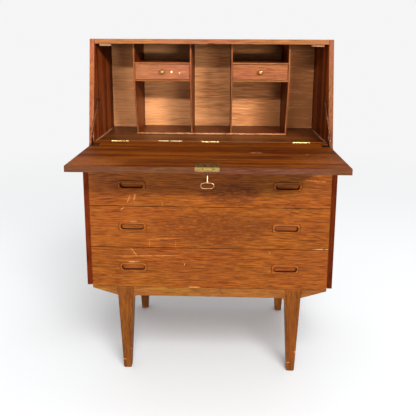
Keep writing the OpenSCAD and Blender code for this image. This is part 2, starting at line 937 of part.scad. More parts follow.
side_left();
side_right();
top_panel();
desk_floor();
drawer_deck();
top_rail();
bottom_board();
back_panel();
drawer_runners();
unit_bottom();
divider_1();
divider_2();
divider_3();
divider_4();
shelves();
stop_blocks();
strike_plate();
hinge_leaves_fixed();
hinge_pins();
hinge_screws_fixed();
stay_studs();
leg_front_left();
leg_front_right();
leg_rear_left();
leg_rear_right();
rail_front();
rail_rear();
rail_left();
rail_right();
base_wings();
flap_panel();
lock_case();
keyhole_plate();
hinge_leaves_moving();
hinge_screws_moving();
stay_brackets();
lock_bolt();
key();
slider_left();
slider_right();
stay_bar_left();
stay_bar_right();
drawer_1_front();
drawer_1_box();
drawer_1_bottom();
drawer_1_pulls();
drawer_2_front();
drawer_2_box();
drawer_2_bottom();
drawer_2_pulls();
drawer_3_front();
drawer_3_box();
drawer_3_bottom();
drawer_3_pulls();
small_left_front();
small_left_box();
small_left_knob();
small_right_front();
small_right_box();
small_right_knob();
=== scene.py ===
"""Looks for the drop-front secretary desk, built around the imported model. Metres, +Z up, front towards -Y."""
import json
import math
import random

import bmesh
import bpy
from mathutils import Matrix, Vector


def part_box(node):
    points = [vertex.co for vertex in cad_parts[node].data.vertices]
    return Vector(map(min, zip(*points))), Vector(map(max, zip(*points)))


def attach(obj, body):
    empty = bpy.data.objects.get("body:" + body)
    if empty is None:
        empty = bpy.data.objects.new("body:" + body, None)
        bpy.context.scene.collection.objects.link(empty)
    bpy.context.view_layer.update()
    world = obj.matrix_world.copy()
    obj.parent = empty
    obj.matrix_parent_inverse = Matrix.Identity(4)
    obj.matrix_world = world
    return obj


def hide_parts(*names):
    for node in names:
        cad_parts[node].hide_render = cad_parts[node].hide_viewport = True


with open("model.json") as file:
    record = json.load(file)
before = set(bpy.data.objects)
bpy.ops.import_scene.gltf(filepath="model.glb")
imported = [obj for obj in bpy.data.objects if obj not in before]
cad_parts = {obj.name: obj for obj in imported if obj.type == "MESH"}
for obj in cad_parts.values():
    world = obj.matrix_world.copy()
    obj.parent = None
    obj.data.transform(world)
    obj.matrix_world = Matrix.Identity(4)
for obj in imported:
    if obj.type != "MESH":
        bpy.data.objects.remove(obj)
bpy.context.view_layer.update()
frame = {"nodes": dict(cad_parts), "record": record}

RECORD = frame["record"]
BODIES = RECORD["behaviour"]["bodies"]
BODY_OF = {node: body for body, nodes in BODIES.items() for node in nodes}
SLOT_OF = {row["node"]: row["material_slot"] for row in RECORD["subparts"]}
CASE_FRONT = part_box("drawer_1_front")[0].y

# ---------------------------------------------------------------- camera, floor and light

# The camera stands where the photo's perspective puts it; angles are in degrees
CAMERA_PLACE = (0.0399, CASE_FRONT - 1.416, 1.0978)
CAMERA_PAN, CAMERA_DIP, CAMERA_ROLL = 1.53, 10.07, 0.25
LENS_MM, SENSOR_MM = 40.5, 36.0
SHIFT_X, SHIFT_Y = -0.0054, -0.2029

# Brightness of what the camera sees behind the desk, of the dome that lights it, and of both in the gloss
BACKDROP = 0.915
DOME_LOW, DOME_RISE = 0.35, 0.56
ROOM_IN_GLOSS, FLOOR_IN_GLOSS = 0.75, 0.40

# The floor fades into the backdrop between the first two distances, and painted light pales it near the camera
FLOOR_HALF = 40.0
FLOOR_TONE = (0.805, 0.825, 0.835, 1)
FLOOR_FADE = (0.9, 3.6)
FLOOR_NEAR, NEAR_GAIN = (-0.62, -0.22), 1.16

WARM = (1.0, 0.97, 0.92)
STRIP = (0.8, 0.12)
STRIP_AIM = (0.0, 0.1, 0.75)


def add_object(name, data):
    thing = bpy.data.objects.new(name, data)
    bpy.context.scene.collection.objects.link(thing)
    return thing


def make_camera():
    data = bpy.data.cameras.new("camera")
    data.lens = LENS_MM
    data.sensor_width = SENSOR_MM
    data.shift_x = SHIFT_X
    data.shift_y = SHIFT_Y
    data.clip_end = 100
    camera = add_object("camera", data)
    pan = Matrix.Rotation(math.radians(CAMERA_PAN), 4, "Z")
    dip = Matrix.Rotation(math.radians(90 - CAMERA_DIP), 4, "X")
    roll = Matrix.Rotation(math.radians(CAMERA_ROLL), 4, "Z")
    camera.matrix_world = Matrix.Translation(CAMERA_PLACE) @ pan @ dip @ roll
    bpy.context.scene.camera = camera


def area_light(name, place, target, size, power, colour=(1, 1, 1), glossy=True):
    """A lamp that the camera doesn't see, with its power in watts."""
    data = bpy.data.lights.new(name, "AREA")
    data.shape = "RECTANGLE"
    data.size, data.size_y = size
    data.energy = power
    data.color = colour
    light = add_object(name, data)
    light.visible_camera = False
    light.visible_glossy = glossy
    light.location = place
    light.rotation_mode = "QUATERNION"
    light.rotation_quaternion = (Vector(target) - Vector(place)).to_track_quat("-Z", "Y")
    return light


def share_light(light, receiver, state):
    """INCLUDE lights the receiver alone, EXCLUDE lights all but the receiver."""
    group = bpy.data.collections.new(light.name + "_share")
    group.objects.link(receiver)
    group.collection_objects[0].light_linking.link_state = state
    light.light_linking.receiver_collection = group


def make_world():
    """A plain pale backdrop, a dome of light that is brighter above, and a dimmer room in the gloss."""
    world = bpy.data.worlds.new("studio")
    bpy.context.scene.world = world
    world.use_nodes = True
    tree = world.node_tree
    tree.nodes.clear()
    out = tree.nodes.new("ShaderNodeOutputWorld")
    path = tree.nodes.new("ShaderNodeLightPath")

    def background(strength):
        node = tree.nodes.new("ShaderNodeBackground")
        node.inputs["Color"].default_value = (1, 1, 1, 1)
        if isinstance(strength, (int, float)):
            node.inputs["Strength"].default_value = strength
        else:
            tree.links.new(strength, node.inputs["Strength"])
        return node.outputs[0]

    def mixed(test, a, b):
        node = tree.nodes.new("ShaderNodeMixShader")
        tree.links.new(path.outputs[test], node.inputs[0])
        tree.links.new(a, node.inputs[1])
        tree.links.new(b, node.inputs[2])
        return node.outputs[0]

    parts = tree.nodes.new("ShaderNodeSeparateXYZ")
    tree.links.new(tree.nodes.new("ShaderNodeTexCoord").outputs["Generated"], parts.inputs[0])
    dome = tree.nodes.new("ShaderNodeMath")
    dome.operation = "MULTIPLY_ADD"
    tree.links.new(parts.outputs["Z"], dome.inputs[0])
    dome.inputs[1].default_value = DOME_RISE
    dome.inputs[2].default_value = DOME_LOW
    light = mixed("Is Glossy Ray", background(dome.outputs[0]), background(ROOM_IN_GLOSS))
    tree.links.new(mixed("Is Camera Ray", light, background(BACKDROP)), out.inputs[0])


def make_floor():
    """A pale floor that runs without an edge into the backdrop, and looks dimmer in the gloss."""
    mesh = bpy.data.meshes.new("floor")
    h = FLOOR_HALF
    mesh.from_pydata([(-h, -h, 0), (h, -h, 0), (h, h, 0), (-h, h, 0)], [], [(0, 1, 2, 3)])
    floor = add_object("floor", mesh)
    n = Nodes("floor")
    reach = n.add("ShaderNodeVectorMath", operation="LENGTH")
    n.link(n.coords(), reach.inputs[0])
    far = n.band(reach.outputs["Value"], *FLOOR_FADE)
    # painted light: the floor's colour is paler towards the camera
    near = n.band(n.part("Y"), *FLOOR_NEAR, 1.0, 0.0)
    n.set(color=n.mix(near, FLOOR_TONE, scaled(FLOOR_TONE, NEAR_GAIN)), rough=0.95, specular=0.05)
    seen = n.blend(far, n.shader.outputs[0], n.glow(BACKDROP))
    in_gloss = n.add("ShaderNodeLightPath").outputs["Is Glossy Ray"]
    surface = n.blend(in_gloss, seen, n.glow(FLOOR_IN_GLOSS))
    n.link(surface, n.tree.nodes["Material Output"].inputs["Surface"])
    mesh.materials.append(n.material)
    return floor


def make_lamps(floor):
    """Two strips high in front and a bounce from the left for the desk, and a soft lamp for the floor."""
    lamps = (
        area_light("key", (1.62, -2.50, 2.08), STRIP_AIM, STRIP, 138, WARM),
        area_light("second_key", (-0.65, -2.50, 2.08), STRIP_AIM, STRIP, 42, WARM),
        area_light("floor_bounce", (-1.15, -1.65, 0.22), (-0.1, -0.1, 0.55), (1.2, 0.4), 19, WARM, False),
    )
    for lamp in lamps:
        share_light(lamp, floor, "EXCLUDE")
    floor_light = area_light("floor_light", (1.3, -4.0, 5.4), (0.0, -0.5, 0.0), (3.4, 3.4), 378)
    share_light(floor_light, floor, "INCLUDE")


# ---------------------------------------------------------------- node helpers


class Nodes:
    """A material's node tree, with short calls for the nodes that the materials share."""

    def __init__(self, name):
        self.material = bpy.data.materials.new(name)
        self.material.use_nodes = True
        self.tree = self.material.node_tree
        self.shader = self.tree.nodes["Principled BSDF"]

    def add(self, kind, **values):
        node = self.tree.nodes.new(kind)
        for key, value in values.items():
            setattr(node, key, value)
        return node

    def link(self, source, target):
        if isinstance(source, (int, float, tuple, list)):
            target.default_value = source
        else:
            self.tree.links.new(source, target)

    def coords(self):
        return self.add("ShaderNodeTexCoord").outputs["Object"]

    def part(self, letter):
        """One of the three object coordinates."""
        parts = self.add("ShaderNodeSeparateXYZ")
        self.link(self.coords(), parts.inputs[0])
        return parts.outputs[letter]

    def place(self, scale, shift=(0, 0, 0), turn=(0, 0, 0), source=None):
        node = self.add("ShaderNodeMapping")
        node.inputs["Scale"].default_value = scale
        node.inputs["Location"].default_value = shift
        node.inputs["Rotation"].default_value = turn
        self.link(self.coords() if source is None else source, node.inputs["Vector"])
        return node.outputs[0]

    def bent(self, scale, shift, amount):
        """Object coordinates pushed about by slow noise, so that the grain wanders."""
        push = self.add("ShaderNodeVectorMath", operation="MULTIPLY_ADD")
        self.link(self.noise(self.place(scale, shift), 2.0), push.inputs[0])
        push.inputs[1].default_value = amount
        self.link(self.coords(), push.inputs[2])
        return push.outputs[0]

    def noise(self, vector, detail=2.0, rough=0.55):
        node = self.add("ShaderNodeTexNoise")
        self.link(vector, node.inputs["Vector"])
        node.inputs["Scale"].default_value = 1.0
        node.inputs["Detail"].default_value = detail
        node.inputs["Roughness"].default_value = rough
        return node.outputs["Fac"]

    def math(self, operation, a, b=0.0, c=0.0):
        node = self.add("ShaderNodeMath", operation=operation)
        for value, socket in zip((a, b, c), node.inputs):
            self.link(value, socket)
        return node.outputs[0]

    def vary(self, value, noise, amount):
        """The value, raised where the noise is high and lowered where it is low."""
        return self.math("MULTIPLY_ADD", self.math("SUBTRACT", noise, 0.5), amount, value)

    def band(self, value, low, high, out_low=0.0, out_high=1.0):
        node = self.add("ShaderNodeMapRange", interpolation_type="SMOOTHSTEP")
        self.link(value, node.inputs["Value"])
        node.inputs["From Min"].default_value = low
        node.inputs["From Max"].default_value = high
        node.inputs["To Min"].default_value = out_low
        node.inputs["To Max"].default_value = out_high
        return node.outputs["Result"]

    def ramp(self, value, stops):
        node = self.add("ShaderNodeValToRGB")
        bar = node.color_ramp
        while len(bar.elements) < len(stops):
            bar.elements.new(0.5)
        for element, (position, colour) in zip(bar.elements, stops):
            element.position = position
            element.color = colour
        self.link(value, node.inputs["Fac"])
        return node.outputs["Color"]

    def mix(self, factor, a, b, blend="MIX"):
        """Inputs 0, 6 and 7 and output 2 are the Mix node's colour sockets."""
        node = self.add("ShaderNodeMix", data_type="RGBA", blend_type=blend)
        self.link(factor, node.inputs[0])
        self.link(a, node.inputs[6])
        self.link(b, node.inputs[7])
        return node.outputs[2]

    def spot(self, centre, reach, turn=0.0, ragged=0.35, soft=0.35):
        """1 inside an uneven patch round the centre, turned about Y, and 0 outside."""
        patch = self.add("ShaderNodeMapping", vector_type="TEXTURE")
        patch.inputs["Location"].default_value = centre
        patch.inputs["Rotation"].default_value = (0.0, turn, 0.0)
        patch.inputs["Scale"].default_value = reach
        self.link(self.coords(), patch.inputs["Vector"])
        size = self.add("ShaderNodeVectorMath", operation="LENGTH")
        self.link(patch.outputs[0], size.inputs[0])
        uneven = self.noise(self.place((1.7, 1.7, 1.7), centre, source=patch.outputs[0]), 2.0)
        edge = self.math("MULTIPLY_ADD", uneven, ragged * 2, size.outputs["Value"])
        return self.band(edge, 1 + ragged - soft, 1 + ragged, 1.0, 0.0)

    def bump(self, height, strength, distance):
        node = self.add("ShaderNodeBump")
        node.inputs["Strength"].default_value = strength
        node.inputs["Distance"].default_value = distance
        self.link(height, node.inputs["Height"])
        self.link(node.outputs[0], self.shader.inputs["Normal"])

    def set(self, **values):
        names = {"color": "Base Color", "rough": "Roughness", "metal": "Metallic",
                 "specular": "Specular IOR Level", "tint": "Specular Tint"}
        for key, value in values.items():
            self.link(value, self.shader.inputs[names[key]])

    def glow(self, strength):
        node = self.add("ShaderNodeEmission")
        node.inputs["Strength"].default_value = strength
        return node.outputs[0]

    def blend(self, factor, a, b):
        node = self.add("ShaderNodeMixShader")
        for socket, source in zip(node.inputs, (factor, a, b)):
            self.link(source, socket)
        return node.outputs[0]


def rgb(r, g, b):
    """A colour given as display values from 0 to 255, in linear light."""
    def linear(v):
        v = v / 255
        return v / 12.92 if v <= 0.04045 else ((v + 0.055) / 1.055) ** 2.4
    return (linear(r), linear(g), linear(b), 1)


def toned(colour, r, g, b):
    return (min(1.0, colour[0] * r), min(1.0, colour[1] * g), min(1.0, colour[2] * b), 1)


def scaled(colour, by):
    return toned(colour, by, by, by)


# ---------------------------------------------------------------- materials

AXES = {"X": 0, "Y": 1, "Z": 2}

# How often the features of the wood repeat, per metre: along the grain, and across it
BEND = (2.6, 3.4)
CLOUDS = (2.2, 8.0)
GROWTH = (0.9, 9.0)
STRIPES = (0.5, 30)
STREAKS = (4.5, 105)
FIBRES = (20, 370)
PORES = (34, 300)
SCORES = (9, 300)
BREAKS = (70, 240)

WOOD_SHEEN = (1.0, 0.72, 0.48, 1)
PLY_SHEEN = (1.0, 0.78, 0.55, 1)


def stretched(axis, along, across):
    scale = [across] * 3
    scale[AXES[axis]] = along
    return scale


def scratches(n, axis, shift):
    """Fine scratches at three angles to the grain, each kind in patches of its own: 1 on a scratch."""
    mask = 0.0
    for turn, gate_at in ((0.10, 0.55), (-1.05, 0.58), (0.85, 0.60)):
        spin = [0.0, 0.0, turn] if axis == "Y" else [0.0, turn, 0.0]
        scores = n.noise(n.place(stretched(axis, *SCORES), shift, spin), 1.0, 0.4)
        gate = n.noise(n.place((13, 13, 13), (shift[0] + turn * 9, shift[1], shift[2])), 1.0)
        kind = n.math("MULTIPLY", n.band(scores, 0.64, 0.71), n.band(gate, gate_at, gate_at + 0.07))
        mask = n.math("MAXIMUM", mask, kind)
    return mask


def marked(n, axis, shift, colour, marks):
    """The colour with the marks over it, broken up along the grain."""
    if not marks:
        return colour
    broken = n.band(n.noise(n.place(stretched(axis, *BREAKS), shift), 2.0), 0.34, 0.58, 0.15, 1.0)
    for centre, reach, tint, strength, *outline in marks:
        patch = n.math("MULTIPLY", n.spot(centre, reach, *outline), broken)
        colour = n.mix(n.math("MULTIPLY", patch, strength), colour, tint)
    return colour


def wood(name, axis, tone, seed=0.0, contrast=1.0, figure=1.0, fine=1.0, wear=0.5, rough=0.40,
         specular=0.30, broad=0.0, gilt=1.0, marks=()):
    """Oiled wood with its grain along the axis, and tone as its middle colour.

    contrast, figure, fine and broad say how strong the streaks, the growth lines, the fibres and the wide
    stripes are, wear the fine scratches and gilt the golden cast. marks are patches of wear, dust and painted
    shade and reflection: (centre, reach, colour, strength), and where it matters the spot's turn, raggedness
    and softness.
    """
    n = Nodes(name)
    shift = (seed * 1.7 + 0.3, seed * 2.3 + 0.7, seed * 3.1 + 0.1)
    wander = [0.0 if i == AXES[axis] else 0.035 * figure for i in range(3)]
    warped = n.bent(stretched(axis, *BEND), shift, wander)

    def grain(scale, detail, harsh=0.55, source=warped):
        return n.noise(n.place(stretched(axis, *scale), shift, source=source), detail, harsh)

    fibres = grain(FIBRES, 2.0, 0.7)
    value = n.vary(0.53, grain(CLOUDS, 3.0, source=None), 0.80 * contrast)
    value = n.vary(value, grain(STREAKS, 3.0, 0.66), 0.60 * contrast)
    if broad:
        stripes = n.band(grain(STRIPES, 2.0, 0.6), 0.40, 0.60, -broad, broad)
        value = n.math("ADD", value, stripes)
    value = n.vary(value, fibres, 1.75 * fine)
    colour = n.ramp(value, [(0.10, toned(tone, 0.46, 0.38, 0.42)), (0.34, toned(tone, 0.78, 0.72, 0.72)),
                            (0.54, tone), (0.92, toned(tone, 1.46, 1.62, 1.55))])
    golden = n.noise(n.place((3.1, 3.1, 4.5), (shift[2], shift[0], shift[1])), 2.0)
    colour = n.mix(n.band(golden, 0.40, 0.62, 0.0, gilt), colour, (1.03, 1.16, 0.85, 1), "MULTIPLY")
    patchy = n.noise(n.place((5, 5, 7), shift), 1.0)
    rings = n.math("PINGPONG", n.math("MULTIPLY", grain(GROWTH, 1.0), 30.0), 1.0)
    lines = n.math("MULTIPLY", n.band(rings, 0.0, 0.20, 0.34 * figure, 0.0), n.band(patchy, 0.40, 0.60))
    colour = n.mix(lines, colour, toned(tone, 0.42, 0.32, 0.36))
    pores = n.band(grain(PORES, 1.0), 0.60, 0.68, 0.0, 0.50 * fine)
    open_pores = n.math("MULTIPLY", pores, n.band(patchy, 0.50, 0.66))
    colour = n.mix(open_pores, colour, toned(tone, 0.30, 0.24, 0.28))
    scuff = scratches(n, axis, shift)
    colour = n.mix(n.math("MULTIPLY", scuff, 0.55 * wear), colour, toned(tone, 2.1, 2.6, 3.0))
    colour = marked(n, axis, shift, colour, marks)
    n.bump(n.math("SUBTRACT", n.math("MULTIPLY", fibres, 0.5), open_pores), 0.16, 0.0004)
    polish = n.band(fibres, 0.3, 0.75, rough - 0.05, rough + 0.08)
    n.set(color=colour, rough=n.math("MULTIPLY_ADD", scuff, 0.15, polish), specular=specular, tint=WOOD_SHEEN)
    return n.material


def plywood(name, tone, seed):
    """Rotary-cut veneer: short rippled dashes across a golden ground, with painted shade to the right and at
    the top.
    """
    n = Nodes(name)
    shift = (seed, seed * 2, seed * 3)
    warped = n.bent((9, 9, 14), shift, (0.0, 0.0, 0.016))
    clouds = n.noise(n.place((3, 3, 9), shift, source=warped), 2.0)
    ripples = n.noise(n.place((9, 9, 135), shift, source=warped), 3.0, 0.66)
    dashes = n.noise(n.place((15, 15, 240), shift, source=warped), 2.0, 0.6)
    value = n.vary(n.vary(n.vary(0.52, clouds, 0.8), ripples, 0.90), dashes, 1.10)
    # painted shade: darker towards the right, where the right side shades the back, and a little paler at the
    # left
    value = n.math("ADD", value, n.band(n.part("X"), -0.34, 0.36, 0.16, -0.46))
    colour = n.ramp(value, [(0.08, toned(tone, 0.50, 0.42, 0.36)), (0.35, toned(tone, 0.78, 0.72, 0.68)),
                            (0.55, tone), (0.92, toned(tone, 1.22, 1.26, 1.32))])
    # painted shade under the top panel, with some grime: darker towards the top
    top_grime_and_shade = n.band(n.part("Z"), 1.050, 1.086, 1.0, 0.45)
    shade = n.add("ShaderNodeCombineColor")
    for socket in ("Red", "Green", "Blue"):
        n.link(top_grime_and_shade, shade.inputs[socket])
    colour = n.mix(1.0, colour, shade.outputs[0], "MULTIPLY")
    n.bump(ripples, 0.18, 0.0005)
    n.set(color=colour, rough=0.55, specular=0.2, tint=PLY_SHEEN)
    return n.material


def metal(name, bright, dull, rough, patina, seed=0.0):
    """Worn metal: cloudy tarnish, dark specks and fine brush marks."""
    n = Nodes(name)
    shift = (seed + 0.2, seed * 2 + 0.4, seed * 3)
    clouds = n.noise(n.place((90, 90, 90), shift), 4.0, 0.6)
    specks = n.noise(n.place((700, 700, 700), shift), 2.0)
    brush = n.noise(n.place((300, 4000, 4000), shift), 1.0)
    tarnish = n.band(clouds, 0.62 - 0.35 * patina, 0.80 - 0.20 * patina)
    colour = n.mix(tarnish, bright, dull)
    colour = n.mix(n.band(specks, 0.62, 0.72, 0.0, 0.5), colour, scaled(dull, 0.4))
    n.bump(n.math("MULTIPLY_ADD", brush, 0.4, clouds), 0.08, 0.0003)
    n.set(color=colour, metal=1.0, rough=n.band(clouds, 0.3, 0.8, rough, rough + 0.22))
    return n.material


def black_iron(name):
    """Blackened steel with a brown cast where the finish has rubbed thin."""
    n = Nodes(name)
    clouds = n.noise(n.place((120, 120, 120)), 4.0, 0.6)
    colour = n.mix(n.band(clouds, 0.5, 0.75), rgb(34, 27, 24), rgb(92, 66, 50))
    n.bump(clouds, 0.1, 0.0003)
    n.set(color=colour, metal=0.75, rough=n.band(clouds, 0.3, 0.8, 0.35, 0.55))
    return n.material


TEAK = rgb(140, 74, 34)
FRONT = rgb(113, 55, 13)
FLAP = rgb(97, 42, 4)
DESK = rgb(97, 47, 17)
EDGE = rgb(124, 69, 41)
FLAP_EDGE = rgb(76, 40, 26)
LOW_EDGE = rgb(74, 25, 7)
INNER = rgb(96, 39, 13)
LEG = rgb(100, 51, 16)
RAIL = rgb(112, 64, 25)
PLY = rgb(206, 143, 93)
BEECH = rgb(200, 160, 112)
PINK = rgb(137, 80, 56)
# painted shade of the seams between the drawers
SEAM_SHADE = rgb(34, 15, 8)
BLOCK = rgb(216, 160, 128)

# Colours of the marks; DARK also paints shade beside and inside the pulls
DUST = rgb(214, 178, 144)
BARE = rgb(222, 160, 112)
SCRATCH = rgb(226, 158, 92)
WORN = rgb(206, 128, 62)
DARK = rgb(70, 26, 8)
# painted reflection, on the flap's front corners
CORNER_REFLECTION = rgb(150, 84, 36)
CHIP = rgb(240, 206, 158)
SPLINTER = rgb(250, 222, 190)


# ---------------------------------------------------------------- making and dressing pieces

FLAT = math.radians(0.6)
SHARP = math.radians(35)


def copy_of(node, width=0.0008, steps=2):
    """A copy of a CAD node with its flat faces whole again and its edges rounded."""
    mesh = frame["nodes"][node].data.copy()
    mesh.materials.clear()
    bm = bmesh.new()
    bm.from_mesh(mesh)
    bmesh.ops.remove_doubles(bm, verts=bm.verts, dist=1e-6)
    bmesh.ops.dissolve_limit(bm, angle_limit=FLAT, verts=bm.verts, edges=bm.edges)
    bm.to_mesh(mesh)
    bm.free()
    piece = add_object(node + "_look", mesh)
    bevel = piece.modifiers.new("edges", "BEVEL")
    bevel.width = width
    bevel.segments = steps
    bevel.limit_method = "ANGLE"
    bevel.angle_limit = SHARP
    for polygon in mesh.polygons:
        polygon.use_smooth = True
    piece.modifiers.new("corners", "WEIGHTED_NORMAL")
    return baked(piece)


def baked(piece):
    """The piece with its modifiers worked into its mesh."""
    graph = bpy.context.evaluated_depsgraph_get()
    shaped = piece.evaluated_get(graph)
    mesh = bpy.data.meshes.new_from_object(shaped, preserve_all_data_layers=True, depsgraph=graph)
    piece.modifiers.clear()
    piece.data = mesh
    return piece


def dress(piece, node, *materials):
    """The piece stands for the node, with its body."""
    for material in materials:
        piece.data.materials.append(material)
    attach(piece, BODY_OF[node])
    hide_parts(node)
    return piece


def soften(node, material, width=0.0008, steps=2):
    return dress(copy_of(node, width, steps), node, material)


def edge_faces(piece, is_edge, index=1):
    """Gives another material to the faces that the test picks."""
    for polygon in piece.data.polygons:
        if is_edge(polygon):
            polygon.material_index = index


def made(name, bm, body, slot, *materials):
    """A new piece from a finished bmesh."""
    mesh = bpy.data.meshes.new(name)
    bmesh.ops.recalc_face_normals(bm, faces=bm.faces)
    bm.to_mesh(mesh)
    bm.free()
    for polygon in mesh.polygons:
        polygon.use_smooth = True
    for material in materials:
        mesh.materials.append(material)
    piece = add_object(name, mesh)
    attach(piece, body)
    return piece


def bridge(bm, a, b, material):
    """Faces between two rings of the same number of points."""
    for i in range(len(a)):
        j = (i + 1) % len(a)
        bm.faces.new((a[i], a[j], b[j], b[i])).material_index = material


# ---------------------------------------------------------------- case


def dress_sides():
    """Each side has its own wood inside, outside, and on its front edge above and below the desk floor."""
    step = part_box("desk_floor")[0].z
    for seed, (node, side) in enumerate((("side_left", -1), ("side_right", 1))):
        lit = toned(EDGE, 0.88 - 0.20 * side, 0.80 - 0.18 * side, 1.0 - 0.28 * side)
        upper = wood(node + "_edge", "Z", lit, seed + 25, contrast=0.8, figure=0.5, specular=0.15)
        inner = wood(node + "_wood", "Z", scaled(INNER, 1.25), seed + 1, contrast=0.6, figure=0.4,
                     broad=0.46, specular=0.05, gilt=0.2)
        outer = wood(node + "_outer", "Z", TEAK, seed + 21)
        lower = wood(node + "_low_edge", "Z", scaled(LOW_EDGE, 1.0 - 0.15 * side), seed + 23,
                     contrast=0.7, figure=0.5, specular=0.03)
        piece = dress(copy_of(node, 0.0022, 3), node, inner, upper, lower, outer)
        edge_faces(piece, lambda p: abs(p.normal.x) < 0.5)
        edge_faces(piece, lambda p: abs(p.normal.x) < 0.5 and p.center.z < step, 2)
        edge_faces(piece, lambda p: p.normal.x * side > 0.5 or p.normal.y > 0.5, 3)


def dress_top(edge):
    inner = wood("top_wood", "X", INNER, 3)
    outer = wood("top_outer", "X", TEAK, 26)
    piece = dress(copy_of("top_panel", 0.0012), "top_panel", inner, edge, outer)
    edge_faces(piece, lambda p: p.normal.y < -0.5)
    edge_faces(piece, lambda p: p.normal.z > 0.5, 2)


def dress_desk_floor():
    """Dust has settled along the sides and the back, and the front edge is worn."""
    low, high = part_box("desk_floor")
    z = high.z
    marks = [((low.x + 0.003, 0.13, z), (0.007, 0.17, 0.01), DUST, 0.62),
             ((high.x - 0.003, 0.13, z), (0.006, 0.17, 0.01), DUST, 0.50),
             ((low.x + 0.05, high.y - 0.003, z), (0.08, 0.008, 0.01), DUST, 0.75),
             ((high.x - 0.05, high.y - 0.003, z), (0.08, 0.007, 0.01), DUST, 0.6),
             ((0.352, low.y + 0.001, z), (0.026, 0.003, 0.01), rgb(222, 128, 58), 0.9),
             ((0.0, low.y + 0.001, z), (0.36, 0.0022, 0.01), DUST, 0.35)]
    board = wood("floor_wood", "X", DESK, 4, contrast=1.5, figure=0.5, fine=1.2, broad=0.38,
                 specular=0.4, marks=marks)
    soften("desk_floor", board, 0.0006)


def dress_inside():
    """The boards and blocks that show little, and the plywood back with the glow that reaches it."""
    soften("drawer_deck", wood("deck_wood", "X", LOW_EDGE, 8))
    for node in ("top_rail", "bottom_board"):
        soften(node, wood(node + "_wood", "X", TEAK, 9))
    back = soften("back_panel", plywood("ply", PLY, 7.0), 0.0004)
    glow = area_light("back_glow", (0.62, -1.5, 0.80), (0.0, 0.2, 0.92), (0.5, 0.10), 12, WARM, False)
    share_light(glow, back, "INCLUDE")
    beech = wood("beech", "Y", BEECH, 8, contrast=0.45, figure=0.6, rough=0.6, gilt=0.2)
    soften("drawer_runners", beech, 0.001)
    soften("stop_blocks", wood("blocks", "X", BLOCK, 9, contrast=0.5, figure=0.6, rough=0.6), 0.001)


def add_seam_chips():
    """Two pale splinters of packing that lie in the seam between the flap and the desk floor."""
    low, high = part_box("desk_floor")
    draw = random.Random(4)
    steps = 12
    for index, (x0, x1) in enumerate(((-0.1742, -0.1395), (-0.1334, -0.0948))):
        bm = bmesh.new()
        rings = []
        for k in range(steps + 1):
            x = x0 + (x1 - x0) * k / steps
            taper = min(1.0, 0.45 + 3.2 * min(k, steps - k) / steps)
            half = 0.0021 * taper * draw.uniform(0.8, 1.15)
            middle = low.y + 0.0055 + draw.uniform(-0.0004, 0.0004)
            top = high.z + 0.0012 * draw.uniform(0.8, 1.2)
            corners = ((middle - half, high.z), (middle - half * 0.8, top),
                       (middle + half * 0.8, top), (middle + half, high.z))
            rings.append([bm.verts.new((x, y, z)) for y, z in corners])
        for a, b in zip(rings, rings[1:]):
            bridge(bm, a, b, 0)
        bm.faces.new(rings[0])
        bm.faces.new(rings[-1])
        pale = wood(f"chip_wood_{index}", "X", SPLINTER, 95 + index, contrast=0.5, figure=0.3, rough=0.6)
        made(f"seam_chip_{index + 1}", bm, "case", "light_blocks", pale)


def dress_pigeonholes(edge):
    for i in range(1, 5):
        node = f"divider_{i}"
        side = wood(node + "_wood", "Z", scaled(INNER, 1.15), 10 + i, contrast=0.6, broad=0.30,
                    specular=0.08, gilt=0.2)
        piece = dress(copy_of(node, 0.0010), node, side, edge)
        edge_faces(piece, lambda p: abs(p.normal.x) < 0.5)
    for seed, node in enumerate(("unit_bottom", "shelves")):
        low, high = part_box(node)
        marks = []
        if node == "unit_bottom":
            marks = [((0.0, low.y, (low.z + high.z) / 2), (0.30, 0.01, 0.004), BARE, 0.6)]
        board = wood(node + "_wood", "X", INNER, 15 + seed, contrast=0.8)
        front = wood(node + "_edge", "X", EDGE, 17 + seed, contrast=0.8, figure=0.5, specular=0.18,
                     marks=marks)
        piece = dress(copy_of(node, 0.0010), node, board, front)
        edge_faces(piece, lambda p: p.normal.y < -0.5)


# ---------------------------------------------------------------- flap


def dress_flap():
    """The flap's outer corners are paler with painted reflection, and things have rubbed it here and there."""
    low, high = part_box("flap_panel")
    z = high.z
    # the two paler corners are painted reflection
    marks = [((low.x + 0.05, low.y + 0.04, z), (0.16, 0.085, 0.02), CORNER_REFLECTION, 0.55, 0.0, 0.4, 0.8),
             ((high.x - 0.05, low.y + 0.09, z), (0.13, 0.075, 0.02), CORNER_REFLECTION, 0.40, 0.0, 0.4, 0.8),
             ((0.140, -0.133, z), (0.022, 0.006, 0.01), rgb(196, 128, 96), 0.55),
             ((0.292, -0.150, z), (0.010, 0.004, 0.01), rgb(176, 116, 50), 0.6),
             ((-0.06, -0.19, z), (0.16, 0.0025, 0.01), rgb(150, 92, 44), 0.5),
             ((0.0, high.y - 0.001, z), (0.36, 0.0018, 0.01), rgb(150, 96, 60), 0.5)]
    board = wood("flap_wood", "X", FLAP, 20, contrast=2.2, figure=0.5, fine=1.3, broad=0.30,
                 rough=0.60, specular=0.10, marks=marks)
    edge = wood("flap_edge", "X", FLAP_EDGE, 27, contrast=0.45, figure=0.3, fine=0.8, wear=0.9)
    piece = dress(copy_of("flap_panel", 0.0022, 3), "flap_panel", board, edge)
    edge_faces(piece, lambda p: abs(p.normal.z) < 0.5)


def dress_lock():
    brass = metal("brass", rgb(226, 190, 116), rgb(132, 92, 48), rough=0.34, patina=0.62)
    tarnished = metal("lock_brass", rgb(150, 122, 62), rgb(60, 46, 24), rough=0.40, patina=0.6)
    piece = dress(copy_of("lock_case", 0.0006), "lock_case", tarnished, brass)
    edge_faces(piece, lambda p: p.normal.z < 0.9)
    soften("keyhole_plate", brass, 0.0004)
    soften("lock_bolt", brass, 0.0005)


# ---------------------------------------------------------------- drawers

LIP, WALL, BACK = 0, 1, 2
PULL_HALF = 0.044

